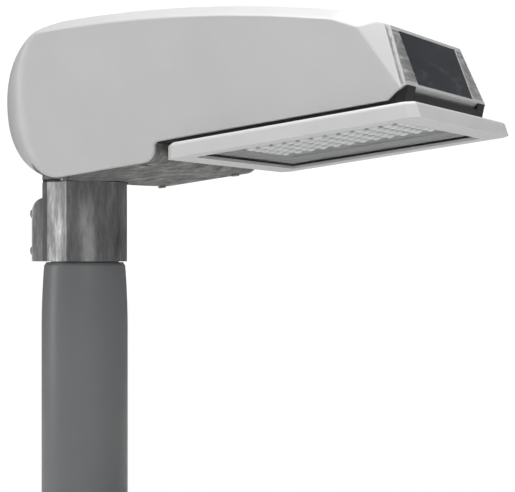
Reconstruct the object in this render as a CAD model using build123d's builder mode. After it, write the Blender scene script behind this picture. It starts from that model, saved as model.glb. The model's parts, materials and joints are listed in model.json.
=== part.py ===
from build123d import *
import os
from math import cos, hypot, radians, sin

# Pole-top street lamp: a sloping head on a clamp collar, with a hinged LED tray below,
# a solar window in the nose and a solar laminate in the roof.
# Millimetres, +Z up.  The origin is the centre of the pole section's lower end.
# +X runs from the tail to the nose of the head, the head is symmetric about Y = 0.

os.makedirs("parts", exist_ok=True)

# ---------------------------------------------------------------- driving dimensions
# pole and collar, measured up the pole axis
pole_radius = 38.05
pole_wall = 3.6
pole_length = 224.0
shoulder_length = 62.0
shoulder_radius = 35.8
spigot_radius = 30.15
spigot_length = 60.0
slip_clearance = 0.5
seat_clearance = 0.3
collar_radius = 37.4
collar_height = 69.5
collar_bore_depth = 62.0
collar_hole_radius = 20.0
collar_flat_offset = 35.6
collar_base_gap = 0.6
rib_reach = 52.0
rib_half_width = 10.0
rib_height = 57.0
rib_round = 13.0
set_screw_radius = 4.0
set_screw_stand_out = 5.4
set_screw_heights = (9.5, 43.0)
neck_gasket_thickness = 2.5
neck_bolt_radius = 3.0
neck_bolt_circle = 25.5
neck_flange_thickness = 5.0
neck_height = 28.0
neck_wall = 7.0

# head, in its own tilted frame: u runs along the head, v is square to it
head_tilt = 6.5
head_axis_z = 320.0
half_width = 88.0
wall = 3.0
tail_u = -36.6
tail_mid_v = 31.3
tail_top_u = 57.0
tail_bottom_u = 32.9
tail_top_fullness = 0.664
tail_top_side_fullness = 0.81
tail_bottom_fullness = 0.6
tail_side_radius = 45.0
tail_sections = 8
tail_top_v = 101.0
roof_tail = (36.0, 101.0)
roof_mid = (170.0, 87.8)
roof_front = (296.0, 61.0)
nose_top = (332.8, 43.3)
nose_bottom = (345.3, -4.7)
belly_v = -29.4
rim_v = -14.5
heel_u = 126.5
rim_front_u = 331.0
heel_round = 11.0
rim_round = 3.5
bevel_drop = 8.5
bevel_inset = 11.0
facet_side = (310.2, 48.4)
facet_foot = (341.4, -5.4)
facet_top_half = 72.7

# nose window
bezel_thickness = 3.0
window_half = 59.0
window_top_margin = 2.6
window_bottom_margin = 2.4
window_glass = 2.6
cell_thickness = 0.6
window_gap = 0.3
backing_thickness = 2.0

# roof laminate
roof_panel_start_u = 62.0
roof_panel_end_u = 284.0
roof_panel_half = 66.0
roof_glass = 2.6
roof_seal = 1.6
roof_cells_long = 6
roof_cells_wide = 3
roof_cell_gap = 2.0
roof_panel_margin = 5.0
roof_pan_depth = 2.0

# rear base casting and base frame
base_clearance = 0.4
base_wall = 3.5
base_rear_u = 4.0
frame_rail = 4.6
frame_top_v = -8.0
frame_foot_v = -17.6
frame_rear_u = 147.0
frame_front_u = 324.0
base_lip = 1.0
bridge_foot_v = -15.4
bridge_thickness = 3.0
chin_top_u = 345.8
chin_foot_u = 341.5
chin_rear_u = 331.8
chin_half = 87.0
chin_corner = 5.0
chin_gap = 0.5
seal_foot_v = -19.2
seal_inset = 0.6

# light tray
tray_rear_u = 144.0
tray_front_u = 356.0
tray_front_lean = 2.6
tray_half = 103.0
tray_top_v = -19.5
tray_bottom_v = -31.8
tray_corner = 7.0
tray_top_round = 3.6
rail_width = 18.0
glass_ledge_v = -25.9
chamber_top_v = -17.5
plateau_v = -14.5
plateau_rear_u = 166.0
plateau_front_u = 327.8
plateau_half = 77.0
chamber_inset = 2.6
tray_glass_thickness = 3.0
bead_width = 1.6
lens_pitch = 12.1
lens_columns = 12
lens_rows = 6
lens_radius = 5.2
lens_drop = 3.2
lens_plate_thickness = 1.8
lens_centre_u = 250.0
board_thickness = 1.6
board_margin = 4.0
chip_size = 3.4
chip_height = 0.7
lens_screw_u = 48.8
lens_screw_y = 24.4
lens_screw_radius = 1.5
lens_screw_head = 3.0
reflector_thickness = 0.8
reflector_gap = 1.0
lens_plate_margin = 0.5
sink_base = 3.0
sink_height = 15.0
sink_fin = 1.8
sink_fins = 13
sink_length = 140.0
sink_half = 62.0

# tray hinge
hinge_u = 136.0
hinge_v = -20.5
hinge_pin_radius = 2.0
hinge_running = 0.06
hinge_eye_radius = 4.4
hinge_y = 62.0
hinge_eye = 9.0
hinge_side_gap = 0.4
hinge_arm = 4.0
hinge_pin_head = 1.2

# front latch
latch_half = 66.0
latch_u = 341.7
latch_v = -10.4
latch_eye_radius = 2.1
latch_pin_radius = 1.2
latch_thickness = 2.6
latch_foot_v = -17.4
latch_recess_gap = 0.4
hook_half = 5.0
hook_y = 40.0
hook_thickness = 2.4
hook_reach = 3.4
keeper_wall = 2.2
keeper_gap = 0.4
keeper_top_v = -13.9
keeper_side_gap = 1.5

# electrics
cell_radius = 16.0
cell_length = 70.0
cell_u = (166.0, 200.0, 234.0)
cell_y = 37.0
cell_v = 30.0
cradle_thickness = 2.5
strap_thickness = 1.2
strap_width = 12.0
controller_size = (58.0, 52.0, 24.0)
controller_place = (84.0, -44.0)
driver_size = (62.0, 40.0, 28.0)
driver_place = (82.0, 50.0)
terminal_size = (34.0, 16.0, 14.0)
terminal_place = (84.0, 4.0)

# ---------------------------------------------------------------- frames and outlines
tilt = radians(head_tilt)
head = Plane(
    origin=(0, 0, head_axis_z),
    x_dir=(cos(tilt), 0, sin(tilt)),
    z_dir=(-sin(tilt), 0, cos(tilt)),
)
collar_bottom_z = pole_length + collar_base_gap
collar_top_z = collar_bottom_z + collar_height
neck_bottom_z = collar_top_z + neck_gasket_thickness
inner_half = half_width - wall
base_half = inner_half - base_clearance
base_front_u = heel_u + base_lip


def floor(v):
    """Plane parallel to the head's floor at height v; its axes are u and Y."""
    return head.offset(v)


def slice_at(y=0.0):
    """Lengthwise plane at a given Y; its axes are u and v, its normal is -Y."""
    return Plane(origin=(0, y, head_axis_z), x_dir=head.x_dir, z_dir=(0, -1, 0))


def cross_at(u):
    """Plane square to the head's length at u; its axes are Y and v."""
    return Plane(origin=head.from_local_coords(Vector(u, 0, 0)), x_dir=(0, 1, 0), z_dir=head.x_dir)


def circle_through(a, b, c):
    """Centre and radius of the circle through three points."""
    d = 2 * (a[0] * (b[1] - c[1]) + b[0] * (c[1] - a[1]) + c[0] * (a[1] - b[1]))
    aa, bb, cc = (p[0] ** 2 + p[1] ** 2 for p in (a, b, c))
    x = (aa * (b[1] - c[1]) + bb * (c[1] - a[1]) + cc * (a[1] - b[1])) / d
    y = (aa * (c[0] - b[0]) + bb * (a[0] - c[0]) + cc * (b[0] - a[0])) / d
    return (x, y), hypot(a[0] - x, a[1] - y)


roof_centre, roof_radius = circle_through(roof_tail, roof_mid, roof_front)


def side_outline(inset=0.0, drop=0.0):
    """The head ahead of its tail seen from the side: roof arc, front slope, nose, rim, heel and belly.

    inset moves every edge inwards, and drop lowers the roof on top of that.
    """
    def under_roof(point):
        return (point[0], point[1] - inset - drop)

    back = inset + bezel_thickness if inset else 0.0
    join_roof = (tail_top_u, roof_centre[1] + (roof_radius ** 2 - (tail_top_u - roof_centre[0]) ** 2) ** 0.5)
    with BuildSketch() as outline:
        with BuildLine():
            ThreePointArc(under_roof(join_roof), under_roof(roof_mid), under_roof(roof_front))
            Polyline(under_roof(roof_front), under_roof((nose_top[0] - back, nose_top[1])),
                     (nose_bottom[0] - back, nose_bottom[1] + inset), (rim_front_u - back, rim_v + inset),
                     (heel_u - inset, rim_v + inset), (heel_u - inset, belly_v + inset),
                     (tail_top_u, belly_v + inset), under_roof(join_roof))
        make_face()
        heel_line = [v for v in outline.vertices() if abs(v.X - heel_u + inset) < 0.01]
        fillet(min(heel_line, key=lambda v: v.Y), heel_round - inset)
        notch = max((v for v in outline.vertices() if abs(v.X - heel_u + inset) < 0.01), key=lambda v: v.Y)
        fillet(notch, rim_round)
    return outline.sketch


def tail_section(y, inset=0.0, drop=0.0):
    """Section of the tail at a distance y from the middle, as a face closed at the roof's rear end."""
    past = max(0.0, abs(y) - (half_width - tail_side_radius)) / tail_side_radius
    ease = 1 - (1 - past ** 2) ** 0.5
    rear_u = tail_u + inset + (tail_side_radius - inset) * ease
    top_v = tail_top_v - inset - drop
    bottom_v = belly_v + inset
    top = tail_top_fullness + (tail_top_side_fullness - tail_top_fullness) * ease
    rise = top_v - tail_mid_v
    fall = bottom_v - tail_mid_v
    with BuildSketch(slice_at(y * (half_width - inset) / half_width)) as section:
        with BuildLine():
            Bezier((tail_top_u, top_v), (tail_top_u - top * (tail_top_u - rear_u), top_v),
                   (rear_u, tail_mid_v + top * rise), (rear_u, tail_mid_v))
            Bezier((rear_u, tail_mid_v), (rear_u, tail_mid_v + tail_bottom_fullness * fall),
                   (tail_bottom_u - tail_bottom_fullness * (tail_bottom_u - rear_u), bottom_v),
                   (tail_bottom_u, bottom_v))
            Polyline((tail_bottom_u, bottom_v), (tail_top_u, bottom_v), (tail_top_u, top_v))
        make_face()
    return section.sketch


def tail_block(inset=0.0, drop=0.0):
    """Rounded tail as a run of flat strips between sections, closer together towards each side."""
    middle = half_width - tail_side_radius
    sides = [middle + tail_side_radius * sin(radians(90 * k / tail_sections)) for k in range(tail_sections + 1)]
    with BuildPart() as block:
        for y in [-side for side in sides[::-1]] + sides:
            add(tail_section(y, inset, drop))
        loft(ruled=True)
    return block.part


def bevelled(half, top, depth):
    """Closed outline of a bar seen end on, its two top corners bevelled."""
    shoulder = half - bevel_inset
    with BuildLine() as outline:
        Polyline((-half, top - depth), (-half, top - bevel_drop), (-shoulder, top), (shoulder, top),
                 (half, top - bevel_drop), (half, top - depth), (-half, top - depth))
    return outline.line


def head_form():
    """Solid of the head's outer form, with its bevelled roof edges, round tail and flat nose corners."""
    slope_start = head.from_local_coords(Vector(roof_front[0], 0, roof_front[1]))
    slope_end = head.from_local_coords(Vector(nose_top[0], 0, nose_top[1]))
    roof_axis = Axis(head.from_local_coords(Vector(roof_centre[0], 0, roof_centre[1])), (0, 1, 0))
    with BuildPart() as arch:
        with BuildSketch(cross_at(roof_centre[0])):
            with BuildLine():
                add(bevelled(half_width, roof_centre[1] + roof_radius, 400))
            make_face()
        revolve(axis=roof_axis)
    with BuildPart() as slope:
        with BuildSketch(Plane(origin=slope_start, x_dir=(0, 1, 0), z_dir=slope_end - slope_start)):
            with BuildLine():
                add(bevelled(half_width, 0, 400))
            make_face()
        extrude(amount=500, both=True)
    with BuildPart() as form:
        with BuildSketch(slice_at()):
            add(side_outline())
        extrude(amount=half_width, both=True)
        add(tail_block())
        add(arch.part, mode=Mode.INTERSECT)
        add(slope.part, mode=Mode.INTERSECT)
        for side in (-1, 1):
            split(bisect_by=facet_plane(side), keep=Keep.BOTTOM)
    return form.part


def head_hollow():
    """Space inside the shell: a wide block below the roof bevels and a narrower crown between them."""
    with BuildPart() as crown:
        with BuildSketch(slice_at()):
            add(side_outline(wall))
        extrude(amount=half_width - bevel_inset - wall / 2, both=True)
        split(bisect_by=floor(tail_mid_v), keep=Keep.TOP)
        split(bisect_by=cross_at(tail_top_u + wall), keep=Keep.TOP)
    with BuildPart() as hollow:
        with BuildSketch(slice_at()):
            add(side_outline(wall, bevel_drop))
        extrude(amount=inner_half, both=True)
        add(tail_block(wall, bevel_drop))
        add(crown.part)
        for side in (-1, 1):
            split(bisect_by=facet_plane(side).offset(-wall), keep=Keep.BOTTOM)
    return hollow.part


def facet_plane(side):
    """Plane of the flat corner between one side wall and the nose, facing outwards."""
    a = head.from_local_coords(Vector(facet_side[0], side * half_width, facet_side[1]))
    b = head.from_local_coords(Vector(facet_foot[0], side * half_width, facet_foot[1]))
    c = head.from_local_coords(Vector(nose_top[0], side * facet_top_half, nose_top[1]))
    normal = (b - a).cross(c - a)
    if normal.Y * side < 0:
        normal = -normal
    return Plane(origin=a, z_dir=normal)


def nose_at(depth=0.0):
    """Plane on the nose face, sunk by depth; its axes are Y and up the slope, its normal is outwards."""
    run = nose_top[0] - nose_bottom[0]
    rise = nose_top[1] - nose_bottom[1]
    length = hypot(run, rise)
    outward = (rise / length, -run / length)
    middle = ((nose_top[0] + nose_bottom[0]) / 2 - depth * outward[0],
              (nose_top[1] + nose_bottom[1]) / 2 - depth * outward[1])
    origin = head.from_local_coords(Vector(middle[0], 0, middle[1]))
    tip = head.from_local_coords(Vector(middle[0] + outward[0], 0, middle[1] + outward[1]))
    return Plane(origin=origin, x_dir=(0, 1, 0), z_dir=tip - origin)


def roof_band(outer_depth, inner_depth, start_u, end_u, half, centre_y=0.0):
    """Slab that follows the roof's arc between two depths below it."""
    def at(u, depth):
        return (u, roof_centre[1] + ((roof_radius - depth) ** 2 - (u - roof_centre[0]) ** 2) ** 0.5)

    middle_u = (start_u + end_u) / 2
    with BuildPart() as band:
        with BuildSketch(slice_at(centre_y)):
            with BuildLine():
                ThreePointArc(at(start_u, outer_depth), at(middle_u, outer_depth), at(end_u, outer_depth))
                Line(at(end_u, outer_depth), at(end_u, inner_depth))
                ThreePointArc(at(end_u, inner_depth), at(middle_u, inner_depth), at(start_u, inner_depth))
                Line(at(start_u, inner_depth), at(start_u, outer_depth))
            make_face()
        extrude(amount=half, both=True)
    return band.part


def save(piece, name):
    """Label a finished piece and write it to its own file."""
    piece.part.label = name
    export_step(piece.part, f"parts/{name}.step")


head_outer = head_form()
head_inner = head_hollow()
window_height = hypot(nose_top[0] - nose_bottom[0], nose_top[1] - nose_bottom[1])
window_height = window_height - window_top_margin - window_bottom_margin
window_shift = (window_bottom_margin - window_top_margin) / 2
fixing_places = [(30.0, 1), (30.0, -1), (108.0, 1), (108.0, -1)]

# ---------------------------------------------------------------- pole and collar
with BuildPart() as pole_section:
    with BuildSketch(Plane.XZ):
        with BuildLine():
            Line((pole_radius - pole_wall, 0), (pole_radius, 0))
            Line((pole_radius, 0), (pole_radius, pole_length - shoulder_length))
            Bezier((pole_radius, pole_length - shoulder_length),
                   (pole_radius, pole_length - shoulder_length / 2),
                   (shoulder_radius + 0.6, pole_length - 8),
                   (shoulder_radius, pole_length - 3))
            Polyline((shoulder_radius, pole_length - 3), (shoulder_radius - 2, pole_length),
                     (spigot_radius, pole_length), (spigot_radius, pole_length + spigot_length),
                     (spigot_radius - pole_wall, pole_length + spigot_length),
                     (spigot_radius - pole_wall, pole_length - 6),
                     (pole_radius - pole_wall, pole_length - shoulder_length),
                     (pole_radius - pole_wall, 0))
        make_face()
    revolve(axis=Axis.Z)
save(pole_section, "pole_section")

with BuildPart() as spigot_collar:
    with BuildSketch(Plane.XY.offset(collar_bottom_z)):
        Circle(collar_radius)
    extrude(amount=collar_height)
    for side in (-1, 1):
        flat_turn = radians(98 * side)
        flat_face = Plane(origin=(collar_flat_offset * cos(flat_turn), collar_flat_offset * sin(flat_turn), 0),
                          z_dir=(cos(flat_turn), sin(flat_turn), 0))
        split(bisect_by=flat_face, keep=Keep.BOTTOM)
    with BuildSketch(Plane.XZ):
        with BuildLine():
            Line((-rib_reach, collar_bottom_z), (-rib_reach, collar_bottom_z + rib_height - rib_round))
            ThreePointArc((-rib_reach, collar_bottom_z + rib_height - rib_round),
                          (-rib_reach + rib_round * (1 - cos(radians(45))),
                           collar_bottom_z + rib_height - rib_round * (1 - sin(radians(45)))),
                          (-rib_reach + rib_round, collar_bottom_z + rib_height))
            Polyline((-rib_reach + rib_round, collar_bottom_z + rib_height),
                     (-spigot_radius - 2, collar_bottom_z + rib_height),
                     (-spigot_radius - 2, collar_bottom_z), (-rib_reach, collar_bottom_z))
        make_face()
    extrude(amount=rib_half_width, both=True)
    fillet(spigot_collar.edges().filter_by(Axis.Z).filter_by(lambda e: e.center().X < -rib_reach + 0.1), 2.5)
    with BuildSketch(Plane.XY.offset(collar_bottom_z)):
        Circle(spigot_radius + slip_clearance)
    extrude(amount=collar_bore_depth, mode=Mode.SUBTRACT)
    with BuildSketch(Plane.XY.offset(collar_bottom_z)):
        Circle(collar_hole_radius)
    extrude(amount=collar_height, mode=Mode.SUBTRACT)
    with BuildSketch(Plane.XY.offset(collar_top_z)):
        with PolarLocations(neck_bolt_circle, 4, start_angle=45):
            Circle(neck_bolt_radius + 0.1)
    extrude(amount=-(collar_height - collar_bore_depth), mode=Mode.SUBTRACT)
    for height in set_screw_heights:
        with BuildSketch(Plane(origin=(-rib_reach, 0, collar_bottom_z + height), z_dir=(1, 0, 0))):
            Circle(set_screw_radius + 0.1)
        extrude(amount=rib_reach - spigot_radius, mode=Mode.SUBTRACT)
save(spigot_collar, "spigot_collar")

with BuildPart() as set_screws:
    for height in set_screw_heights:
        screw_end = (-rib_reach - set_screw_stand_out, 0, collar_bottom_z + height)
        with BuildSketch(Plane(origin=screw_end, z_dir=(1, 0, 0))):
            Circle(set_screw_radius)
        extrude(amount=rib_reach + set_screw_stand_out - spigot_radius - seat_clearance)
        with BuildSketch(Plane(origin=screw_end, z_dir=(1, 0, 0))):
            RegularPolygon(set_screw_radius / 2, 6)
        extrude(amount=4.0, mode=Mode.SUBTRACT)
save(set_screws, "set_screws")

with BuildPart() as neck_gasket:
    with BuildSketch(Plane.XY.offset(collar_top_z)):
        Circle(collar_radius - 0.5)
        Circle(collar_hole_radius, mode=Mode.SUBTRACT)
        with PolarLocations(neck_bolt_circle, 4, start_angle=45):
            Circle(neck_bolt_radius + 0.2, mode=Mode.SUBTRACT)
    extrude(amount=neck_gasket_thickness)
save(neck_gasket, "neck_gasket")

with BuildPart() as neck_bolts:
    with BuildSketch(Plane.XY.offset(neck_bottom_z + neck_flange_thickness)):
        with PolarLocations(neck_bolt_circle, 4, start_angle=45):
            Circle(neck_bolt_radius)
    extrude(amount=-(neck_flange_thickness + neck_gasket_thickness + collar_height - collar_bore_depth - 1))
    with BuildSketch(Plane.XY.offset(neck_bottom_z + neck_flange_thickness)):
        with PolarLocations(neck_bolt_circle, 4, start_angle=45):
            RegularPolygon(neck_bolt_radius * 1.6, 6)
    extrude(amount=neck_bolt_radius * 1.3)
save(neck_bolts, "neck_bolts")

# ---------------------------------------------------------------- rear base casting
with BuildPart() as rear_base:
    add(head_outer)
    with BuildSketch(floor(belly_v - 20)):
        with Locations(((base_rear_u + base_front_u) / 2, 0)):
            RectangleRounded(base_front_u - base_rear_u, 2 * base_half, 3)
    extrude(amount=20 + rim_v - base_clearance - belly_v, mode=Mode.INTERSECT)
    with BuildSketch(floor(belly_v + base_wall)):
        with Locations(((base_rear_u + heel_u) / 2, 0)):
            RectangleRounded(heel_u - base_rear_u - 2 * base_wall, 2 * (base_half - base_wall), 3)
    extrude(amount=30, mode=Mode.SUBTRACT)
    with BuildSketch(Plane.XY.offset(neck_bottom_z)):
        Circle(collar_radius)
    extrude(amount=neck_height)
    with BuildSketch(Plane.XY.offset(neck_bottom_z + neck_flange_thickness)):
        Circle(collar_radius - neck_wall)
    extrude(amount=neck_height, mode=Mode.SUBTRACT)
    with BuildSketch(Plane.XY.offset(neck_bottom_z - 20)):
        Circle(collar_hole_radius)
    extrude(amount=60, mode=Mode.SUBTRACT)
    with BuildSketch(Plane.XY.offset(neck_bottom_z)):
        Circle(collar_radius + 1)
    extrude(amount=-30, mode=Mode.SUBTRACT)
    with BuildSketch(Plane.XY.offset(neck_bottom_z - 5)):
        with PolarLocations(neck_bolt_circle, 4, start_angle=45):
            Circle(neck_bolt_radius + 0.2)
    extrude(amount=5 + neck_flange_thickness, mode=Mode.SUBTRACT)
    with BuildSketch(floor(belly_v + base_wall - 0.5)):
        for place, side in fixing_places:
            with Locations((place, side * (base_half - base_wall - 5))):
                Rectangle(12, 12)
    extrude(amount=rim_v - base_clearance - belly_v - base_wall)
    with BuildSketch(floor(belly_v - 1)):
        for place, side in fixing_places:
            with Locations((place, side * (base_half - base_wall - 5))):
                Circle(2.2)
    extrude(amount=20, mode=Mode.SUBTRACT)
    for side in (-1, 1):
        with BuildSketch(slice_at(side * hinge_y)):
            with Locations((hinge_u, hinge_v)):
                Circle(hinge_eye_radius)
            with Locations(((hinge_u + heel_u - 2) / 2, hinge_v)):
                Rectangle(hinge_u - heel_u + 2, 2 * hinge_eye_radius)
        extrude(amount=hinge_eye / 2, both=True)
        with BuildSketch(slice_at(side * hinge_y)):
            with Locations((hinge_u, hinge_v)):
                Circle(hinge_pin_radius)
        extrude(amount=hinge_eye, both=True, mode=Mode.SUBTRACT)
save(rear_base, "rear_base")

with BuildPart() as base_screws:
    with BuildSketch(floor(belly_v + 0.4)):
        for place, side in fixing_places:
            with Locations((place, side * (base_half - base_wall - 5))):
                Circle(2.0)
    extrude(amount=rim_v - belly_v + 9)
    with BuildSketch(floor(belly_v)):
        for place, side in fixing_places:
            with Locations((place, side * (base_half - base_wall - 5))):
                Circle(3.6)
    extrude(amount=-1.8)
save(base_screws, "base_screws")

# ---------------------------------------------------------------- shell and nose
with BuildPart() as housing_shell:
    add(head_outer)
    split(bisect_by=nose_at(bezel_thickness), keep=Keep.BOTTOM)
    add(head_inner, mode=Mode.SUBTRACT)
    add(roof_band(wall - 0.5, wall + roof_pan_depth, roof_panel_start_u - 4, roof_panel_end_u + 4,
                  roof_panel_half + 4))
    add(roof_band(-5, roof_glass + cell_thickness, roof_panel_start_u, roof_panel_end_u, roof_panel_half),
        mode=Mode.SUBTRACT)
    with BuildSketch(floor(belly_v - 20)):
        with Locations(((base_rear_u - base_clearance + rim_front_u - 1) / 2, 0)):
            Rectangle(rim_front_u - 1 - base_rear_u + base_clearance, 2 * inner_half)
    extrude(amount=20 + rim_v - belly_v + wall + 1, mode=Mode.SUBTRACT)
    with BuildSketch(Plane.XY.offset(neck_bottom_z - 40)):
        Circle(collar_radius + base_clearance)
    extrude(amount=40 + neck_height + base_clearance, mode=Mode.SUBTRACT)
    with BuildSketch(floor(rim_v)):
        for place, side in fixing_places:
            with Locations((place, side * (inner_half - 7))):
                Rectangle(12, 15)
    extrude(amount=12)
    with BuildSketch(floor(rim_v - 1)):
        for place, side in fixing_places:
            with Locations((place, side * (base_half - base_wall - 5))):
                Circle(2.05)
    extrude(amount=11, mode=Mode.SUBTRACT)
    with BuildSketch(nose_at(-5)):
        with Locations((0, window_shift)):
            Rectangle(2 * window_half - 10, window_height - 10)
    extrude(amount=-20, mode=Mode.SUBTRACT)
save(housing_shell, "housing_shell")

with BuildPart() as nose_bezel:
    add(head_outer)
    split(bisect_by=nose_at(bezel_thickness), keep=Keep.TOP)
    with BuildSketch(nose_at(-5)):
        with Locations((0, window_shift)):
            RectangleRounded(2 * window_half, window_height, 1.0)
    extrude(amount=-20, mode=Mode.SUBTRACT)
save(nose_bezel, "nose_bezel")

with BuildPart() as nose_glass:
    with BuildSketch(nose_at(bezel_thickness)):
        with Locations((0, window_shift)):
            RectangleRounded(2 * (window_half - window_gap), window_height - 2 * window_gap, 1.0)
    extrude(amount=window_glass)
save(nose_glass, "nose_glass")

with BuildPart() as nose_cells:
    with BuildSketch(nose_at(bezel_thickness + cell_thickness + 0.1)):
        for place in (-1.5, -0.5, 0.5, 1.5):
            with Locations((place * (2 * window_half - 12) / 4, window_shift)):
                Rectangle((2 * window_half - 12) / 4 - 1.0, window_height - 12)
    extrude(amount=cell_thickness)
save(nose_cells, "nose_cells")

with BuildPart() as nose_backing:
    with BuildSketch(nose_at(bezel_thickness + cell_thickness + 0.2 + backing_thickness)):
        with Locations((0, window_shift)):
            Rectangle(2 * window_half - 11, window_height - 11)
    extrude(amount=backing_thickness)
save(nose_backing, "nose_backing")

# ---------------------------------------------------------------- roof laminate
with BuildPart() as roof_glass_sheet:
    add(roof_band(0.1, roof_glass, roof_panel_start_u + roof_seal, roof_panel_end_u - roof_seal,
                  roof_panel_half - roof_seal))
save(roof_glass_sheet, "roof_glass")

with BuildPart() as roof_seal_ring:
    add(roof_band(0, roof_glass, roof_panel_start_u + 0.1, roof_panel_end_u - 0.1, roof_panel_half - 0.1))
    add(roof_band(-5, roof_glass + 5, roof_panel_start_u + roof_seal, roof_panel_end_u - roof_seal,
                  roof_panel_half - roof_seal), mode=Mode.SUBTRACT)
save(roof_seal_ring, "roof_seal")

cell_run = (roof_panel_end_u - roof_panel_start_u - 2 * roof_panel_margin) / roof_cells_long
cell_width = (2 * roof_panel_half - 2 * roof_panel_margin) / roof_cells_wide
with BuildPart() as roof_cells:
    for column in range(roof_cells_long):
        start_u = roof_panel_start_u + roof_panel_margin + column * cell_run + roof_cell_gap / 2
        for row in range(roof_cells_wide):
            centre_y = (row - (roof_cells_wide - 1) / 2) * cell_width
            add(roof_band(roof_glass + 0.1, roof_glass + cell_thickness - 0.1, start_u,
                          start_u + cell_run - roof_cell_gap, (cell_width - roof_cell_gap) / 2, centre_y))
save(roof_cells, "roof_cells")

# ---------------------------------------------------------------- base frame, seal
chin_slope = (nose_bottom[1] - rim_v) / (nose_bottom[0] - rim_front_u)


def under_rim(u):
    """Height just below the shell's front rim at u."""
    return rim_v + max(0.0, u - rim_front_u) * chin_slope - chin_gap


def chin_outline():
    """Section of the chin: sloped top under the rim, leaning front, flat foot."""
    with BuildSketch() as outline:
        with BuildLine():
            Polyline((chin_rear_u, under_rim(chin_rear_u)), (chin_top_u, under_rim(chin_top_u)),
                     (chin_foot_u, frame_foot_v), (chin_rear_u, frame_foot_v),
                     (chin_rear_u, under_rim(chin_rear_u)))
        make_face()
    return outline.sketch


def latch_outline():
    """Section of the latch bar: an eye at the top and a flat blade down to its foot."""
    lean = (chin_top_u - chin_foot_u) / (under_rim(chin_top_u) - frame_foot_v)
    head_u = chin_foot_u + lean * (latch_v - frame_foot_v)
    foot_u = chin_foot_u + lean * (latch_foot_v - frame_foot_v)
    with BuildSketch() as outline:
        with BuildLine():
            Polyline((head_u, latch_v), (foot_u, latch_foot_v), (foot_u - latch_thickness, latch_foot_v),
                     (head_u - latch_thickness, latch_v), (head_u, latch_v))
        make_face()
        with Locations((latch_u, latch_v)):
            Circle(latch_eye_radius)
    return outline.sketch


hook_top_v = latch_foot_v + 4.6
keeper_u = chin_foot_u - latch_thickness - hook_reach
with BuildPart() as base_frame:
    with BuildSketch(floor(frame_foot_v)):
        with Locations(((frame_rear_u + chin_rear_u + 1) / 2, 0)):
            Rectangle(chin_rear_u + 1 - frame_rear_u, 2 * base_half)
            Rectangle(chin_rear_u + 1 - frame_rear_u - 2 * frame_rail, 2 * (base_half - frame_rail),
                      mode=Mode.SUBTRACT)
    extrude(amount=rim_v - frame_foot_v - base_clearance)
    with BuildSketch(floor(frame_foot_v)):
        for side in (-1, 1):
            with Locations(((frame_rear_u + frame_front_u) / 2, side * (base_half - frame_rail / 2))):
                Rectangle(frame_front_u - frame_rear_u, frame_rail)
    extrude(amount=frame_top_v - frame_foot_v)
    with BuildSketch(slice_at()):
        add(chin_outline())
    extrude(amount=chin_half, both=True)
    chamfer(base_frame.edges().filter_by(
        lambda e: abs(e.center().Y) > chin_half - 0.1
        and head.to_local_coords(e.center()).X > (chin_top_u + chin_foot_u) / 2 - 1), chin_corner)
    with BuildSketch(floor(bridge_foot_v)):
        with Locations(((base_front_u + base_clearance + frame_rear_u + frame_rail) / 2, 0)):
            Rectangle(frame_rear_u + frame_rail - base_front_u - base_clearance, 2 * base_half)
    extrude(amount=bridge_thickness)
    with BuildSketch(slice_at()):
        with BuildLine():
            recess_u = chin_foot_u - latch_thickness - latch_recess_gap
            Polyline((recess_u, frame_foot_v - 1), (recess_u, rim_v + 20), (chin_top_u + 5, rim_v + 20),
                     (chin_top_u + 5, frame_foot_v - 1), (recess_u, frame_foot_v - 1))
        make_face()
    extrude(amount=latch_half + latch_recess_gap, both=True, mode=Mode.SUBTRACT)
    for side in (-1, 1):
        with BuildSketch(slice_at(side * hook_y)):
            with BuildLine():
                pocket_u = keeper_u - keeper_gap - keeper_wall - keeper_gap
                Polyline((pocket_u, frame_foot_v - 1), (pocket_u, rim_v + 20), (recess_u + 1, rim_v + 20),
                         (recess_u + 1, frame_foot_v - 1), (pocket_u, frame_foot_v - 1))
            make_face()
        extrude(amount=hook_half + keeper_side_gap, both=True, mode=Mode.SUBTRACT)
    for side in (-1, 1):
        with BuildSketch(slice_at(side * latch_half)):
            with Locations((latch_u, latch_v)):
                Circle(latch_pin_radius)
        extrude(amount=6, both=True, mode=Mode.SUBTRACT)
save(base_frame, "base_frame")

with BuildPart() as latch_bar:
    with BuildSketch(slice_at()):
        add(latch_outline())
    extrude(amount=latch_half, both=True)
    for side in (-1, 1):
        with BuildSketch(slice_at(side * hook_y)):
            with Locations((chin_foot_u - latch_thickness - hook_reach / 2 + 1, hook_top_v - hook_thickness / 2)):
                Rectangle(hook_reach + 2, hook_thickness)
        extrude(amount=hook_half, both=True)
    with BuildSketch(slice_at()):
        with Locations((latch_u, latch_v)):
            Circle(latch_pin_radius + hinge_running)
    extrude(amount=latch_half + 1, both=True, mode=Mode.SUBTRACT)
save(latch_bar, "latch_bar")

with BuildPart() as latch_pin:
    with BuildSketch(slice_at()):
        with Locations((latch_u, latch_v)):
            Circle(latch_pin_radius)
    extrude(amount=latch_half + 5.5, both=True)
save(latch_pin, "latch_pin")

with BuildPart() as tray_seal:
    with BuildSketch(floor(seal_foot_v)):
        with Locations(((frame_rear_u + chin_rear_u + 1) / 2, 0)):
            Rectangle(chin_rear_u + 1 - frame_rear_u - 2 * seal_inset, 2 * (base_half - seal_inset))
            Rectangle(chin_rear_u + 1 - frame_rear_u - 2 * (frame_rail - seal_inset),
                      2 * (base_half - frame_rail + seal_inset), mode=Mode.SUBTRACT)
    extrude(amount=frame_foot_v - seal_foot_v)
save(tray_seal, "tray_seal")

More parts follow.
